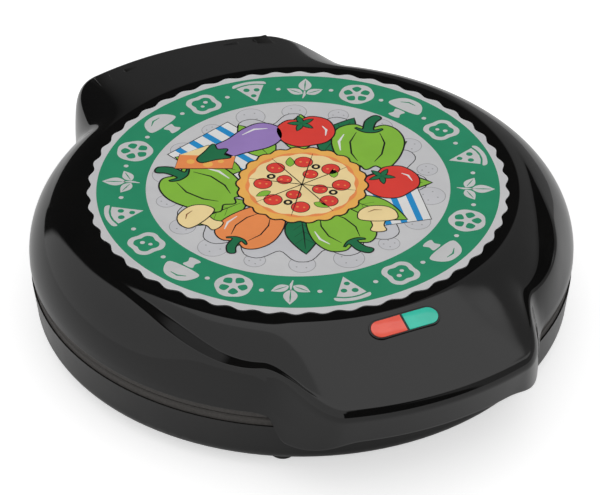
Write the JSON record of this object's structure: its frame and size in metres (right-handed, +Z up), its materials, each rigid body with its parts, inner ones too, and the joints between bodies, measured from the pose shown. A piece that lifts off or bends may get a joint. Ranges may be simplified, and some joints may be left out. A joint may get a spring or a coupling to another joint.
{
  "type": "electric pizza maker",
  "caption": "Round countertop electric pizza maker: hinged glossy lid with front grip, scalloped badge and lamp window, heated lower and upper plates, rubber feet.",
  "frame": {"origin": "under the middle of the overall depth and width, on the plane that the feet stand on; the round body's centre is 6.5 mm in front of it, at y = -0.0065", "axes": "+Z up, -Y towards the front grip and lamps, +Y towards the hinge, +X to the right of someone who faces the front grip"},
  "size_m": [0.332, 0.399, 0.083],
  "materials": {
    "housing": "glossy moulded black plastic",
    "nonstick": "die-cast aluminium with matte black non-stick coating",
    "element": "dull steel sheath",
    "shield": "bright pressed aluminium sheet",
    "screw": "zinc plated steel",
    "pin": "ground steel",
    "rubber": "matte black rubber",
    "badge": "printed satin aluminium",
    "red_lens": "translucent red plastic",
    "green_lens": "translucent green plastic",
    "ceramic": "pale heat-proof moulding",
    "lamp": "clear neon lamp",
    "lead": "heat-proof sleeved wire"
  },
  "bodies": {
    "base": {"base_shell": "housing", "lower_plate": "nonstick", "lower_heater": "element", "lower_heat_shield": "shield", "lower_plate_screws": "screw", "feet": "rubber", "cord_gland": "rubber", "terminal_block": "ceramic", "terminal_screws": "screw", "base_leads": "lead", "hinge_pins": "pin"},
    "lid": {"lid_shell": "housing", "badge_disc": "badge", "lamp_bezel": "housing", "power_lens": "red_lens", "ready_lens": "green_lens", "lamp_holder": "ceramic", "power_lamp": "lamp", "ready_lamp": "lamp", "upper_plate": "nonstick", "upper_heater": "element", "upper_heat_shield": "shield", "upper_plate_screws": "screw", "thermostat": "element", "thermal_fuse": "element", "fuse_clip": "shield", "bracket_screws": "screw", "lid_leads": "lead"}
  },
  "joints": [
    {"name": "lid_hinge", "type": "hinge", "parent": "base", "child": "lid", "pos_m": [0, 0.1745, 0.0401], "axis": [-1, 0, 0], "range_deg": [0, 100]}
  ]
}
